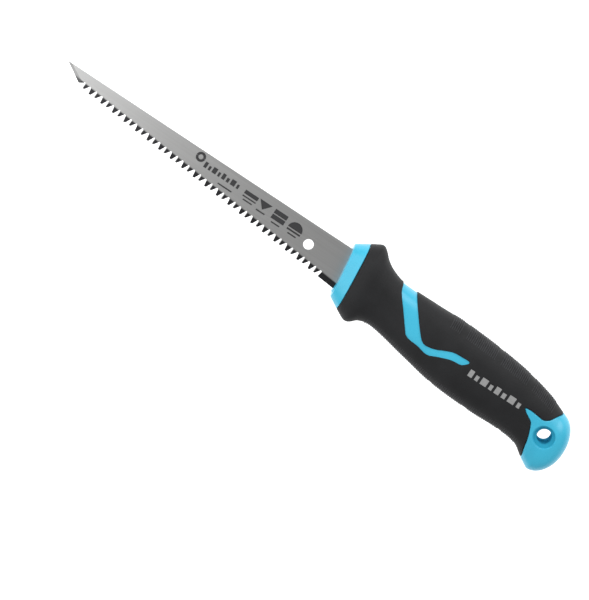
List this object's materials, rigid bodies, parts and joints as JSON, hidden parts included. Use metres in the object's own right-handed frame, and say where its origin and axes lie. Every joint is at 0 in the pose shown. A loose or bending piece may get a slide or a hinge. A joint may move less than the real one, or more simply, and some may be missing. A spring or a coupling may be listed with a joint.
{
  "type": "drywall saw",
  "caption": "Drywall jab saw: a narrow tapered steel blade with a ground point and bevelled teeth, fixed in a hard handle with a soft moulded grip and a hanging hole.",
  "frame": {"origin": "middle of the hanging hole, on the saw's middle plane", "axes": "+X along the blade's spine from the point to the butt, +Y from the teeth towards the spine, +Z across the handle, through the hanging hole; the saw lies on its side"},
  "size_m": [0.3061, 0.0523, 0.026],
  "materials": {
    "blade_steel": "lengthwise brushed, with darkened hardened tooth tips",
    "hard_handle": "moulded, satin gloss",
    "soft_grip": "matt moulded soft grip with fine ribs along both edges"
  },
  "bodies": {
    "root": {"blade": "blade_steel", "handle_core": "hard_handle", "soft_grip": "soft_grip"}
  },
  "joints": []
}
